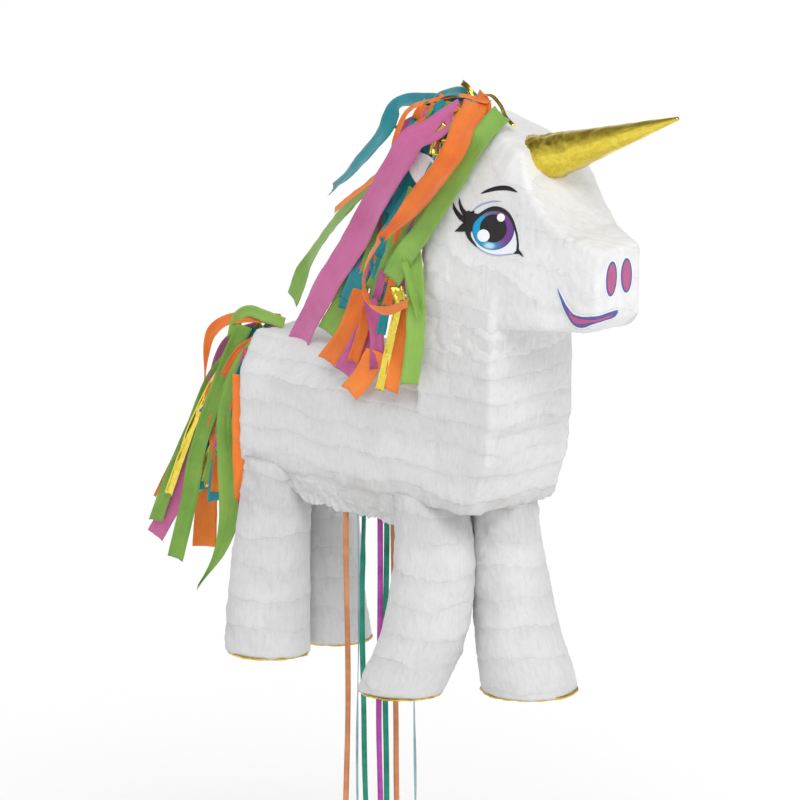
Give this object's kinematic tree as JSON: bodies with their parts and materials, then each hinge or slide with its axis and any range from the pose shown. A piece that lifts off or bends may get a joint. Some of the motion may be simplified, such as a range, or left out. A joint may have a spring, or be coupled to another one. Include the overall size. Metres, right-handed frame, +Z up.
{
  "type": "pull pinata",
  "caption": "Unicorn pull pinata: crepe-covered cardboard body, foil horn, tissue mane and tail, belly flap and hanging pull ribbons.",
  "frame": {"origin": "centre of the punched hole in the hang tab, over the back in the middle plane", "axes": "+X forwards, the way the horn points; +Y to the animal's own left; +Z up"},
  "size_m": [0.632, 0.1589, 0.8221],
  "materials": {
    "cardboard": "plain brown corrugated board",
    "ear_paper": "matte pale pink paper",
    "gold_foil": "crinkled metallised gold foil paper",
    "leg_crepe": "card tube under matte white crepe paper",
    "paper_tape": "matte paper tape",
    "printed_black": "satin black printed paper",
    "printed_eye": "satin printed paper, blue to purple iris",
    "printed_pink": "satin printed paper, pink with a violet edge",
    "ribbon_blue": "glossy curling ribbon",
    "ribbon_green": "glossy curling ribbon",
    "ribbon_orange": "glossy curling ribbon",
    "ribbon_purple": "glossy curling ribbon",
    "sole_foil": "card disc under metallised gold foil",
    "tissue_green": "matte green tissue paper",
    "tissue_orange": "matte orange tissue paper",
    "tissue_pink": "matte pink tissue paper",
    "tissue_teal": "matte teal tissue paper",
    "white_crepe": "matte white crepe paper glued in overlapping strips"
  },
  "bodies": {
    "body": {"back_board": "cardboard", "belly_board": "cardboard", "body_skin": "white_crepe", "brow_left": "printed_black", "brow_right": "printed_black", "chest_front": "cardboard", "chest_side_left": "cardboard", "chest_side_right": "cardboard", "ear_left": "ear_paper", "ear_right": "ear_paper", "eye_left": "printed_eye", "eye_right": "printed_eye", "hang_tab": "cardboard", "hang_tab_plate": "cardboard", "head_back": "cardboard", "head_cheek_left": "cardboard", "head_cheek_right": "cardboard", "head_jaw": "cardboard", "head_skin": "white_crepe", "head_top": "cardboard", "horn_cone": "cardboard", "horn_foil": "gold_foil", "lash_left": "printed_black", "lash_right": "printed_black", "leg_front_left": "leg_crepe", "leg_front_right": "leg_crepe", "leg_rear_left": "leg_crepe", "leg_rear_right": "leg_crepe", "mane_gold": "gold_foil", "mane_green": "tissue_green", "mane_orange": "tissue_orange", "mane_pink": "tissue_pink", "mane_teal": "tissue_teal", "mouth": "printed_pink", "muzzle_sleeve": "cardboard", "nape_board": "cardboard", "nose_board": "cardboard", "nostrils": "printed_pink", "rump_board": "cardboard", "sole_front_left": "sole_foil", "sole_front_right": "sole_foil", "sole_rear_left": "sole_foil", "sole_rear_right": "sole_foil", "tail_gold": "gold_foil", "tail_green": "tissue_green", "tail_orange": "tissue_orange", "tail_pink": "tissue_pink", "tail_teal": "tissue_teal", "torso_side_left": "cardboard", "torso_side_right": "cardboard"},
    "release_flap": {"release_flap": "white_crepe", "trigger_tape": "paper_tape"},
    "trigger_ribbon": {"ribbon_green_trigger": "ribbon_green"},
    "fill_door": {"fill_door": "white_crepe"},
    "ribbon_orange_rear_pull": {"ribbon_orange_rear": "ribbon_orange"},
    "ribbon_blue_rear_pull": {"ribbon_blue_rear": "ribbon_blue"},
    "ribbon_green_front_pull": {"ribbon_green_front": "ribbon_green"},
    "ribbon_purple_pull": {"ribbon_purple": "ribbon_purple"},
    "ribbon_orange_front_pull": {"ribbon_orange_front": "ribbon_orange"},
    "ribbon_blue_front_pull": {"ribbon_blue_front": "ribbon_blue"}
  },
  "joints": [
    {"name": "release_flap_hinge", "type": "hinge", "parent": "body", "child": "release_flap", "pos_m": [-0.12, 0, -0.1243], "axis": [0, 1, 0], "range_deg": [0, 90]},
    {"name": "trigger_ribbon_hang", "type": "hinge", "parent": "release_flap", "child": "trigger_ribbon", "pos_m": [-0.09, -0.002, -0.1277], "axis": [0, 1, 0], "range_deg": [-90, 0]},
    {"name": "fill_door_hinge", "type": "hinge", "parent": "body", "child": "fill_door", "pos_m": [-0.08, 0.0483, -0.052], "axis": [1, 0, 0], "range_deg": [0, 90]},
    {"name": "ribbon_orange_rear_slide", "type": "slide", "parent": "body", "child": "ribbon_orange_rear_pull", "axis": [0, 0, -1], "range_m": [0, 0.045]},
    {"name": "ribbon_blue_rear_slide", "type": "slide", "parent": "body", "child": "ribbon_blue_rear_pull", "axis": [0, 0, -1], "range_m": [0, 0.045]},
    {"name": "ribbon_green_front_slide", "type": "slide", "parent": "body", "child": "ribbon_green_front_pull", "axis": [0, 0, -1], "range_m": [0, 0.045]},
    {"name": "ribbon_purple_slide", "type": "slide", "parent": "body", "child": "ribbon_purple_pull", "axis": [0, 0, -1], "range_m": [0, 0.045]},
    {"name": "ribbon_orange_front_slide", "type": "slide", "parent": "body", "child": "ribbon_orange_front_pull", "axis": [0, 0, -1], "range_m": [0, 0.045]},
    {"name": "ribbon_blue_front_slide", "type": "slide", "parent": "body", "child": "ribbon_blue_front_pull", "axis": [0, 0, -1], "range_m": [0, 0.045]}
  ],
  "couplings": [
    {"joint": "trigger_ribbon_hang", "follows": "release_flap_hinge", "ratio": -1}
  ]
}
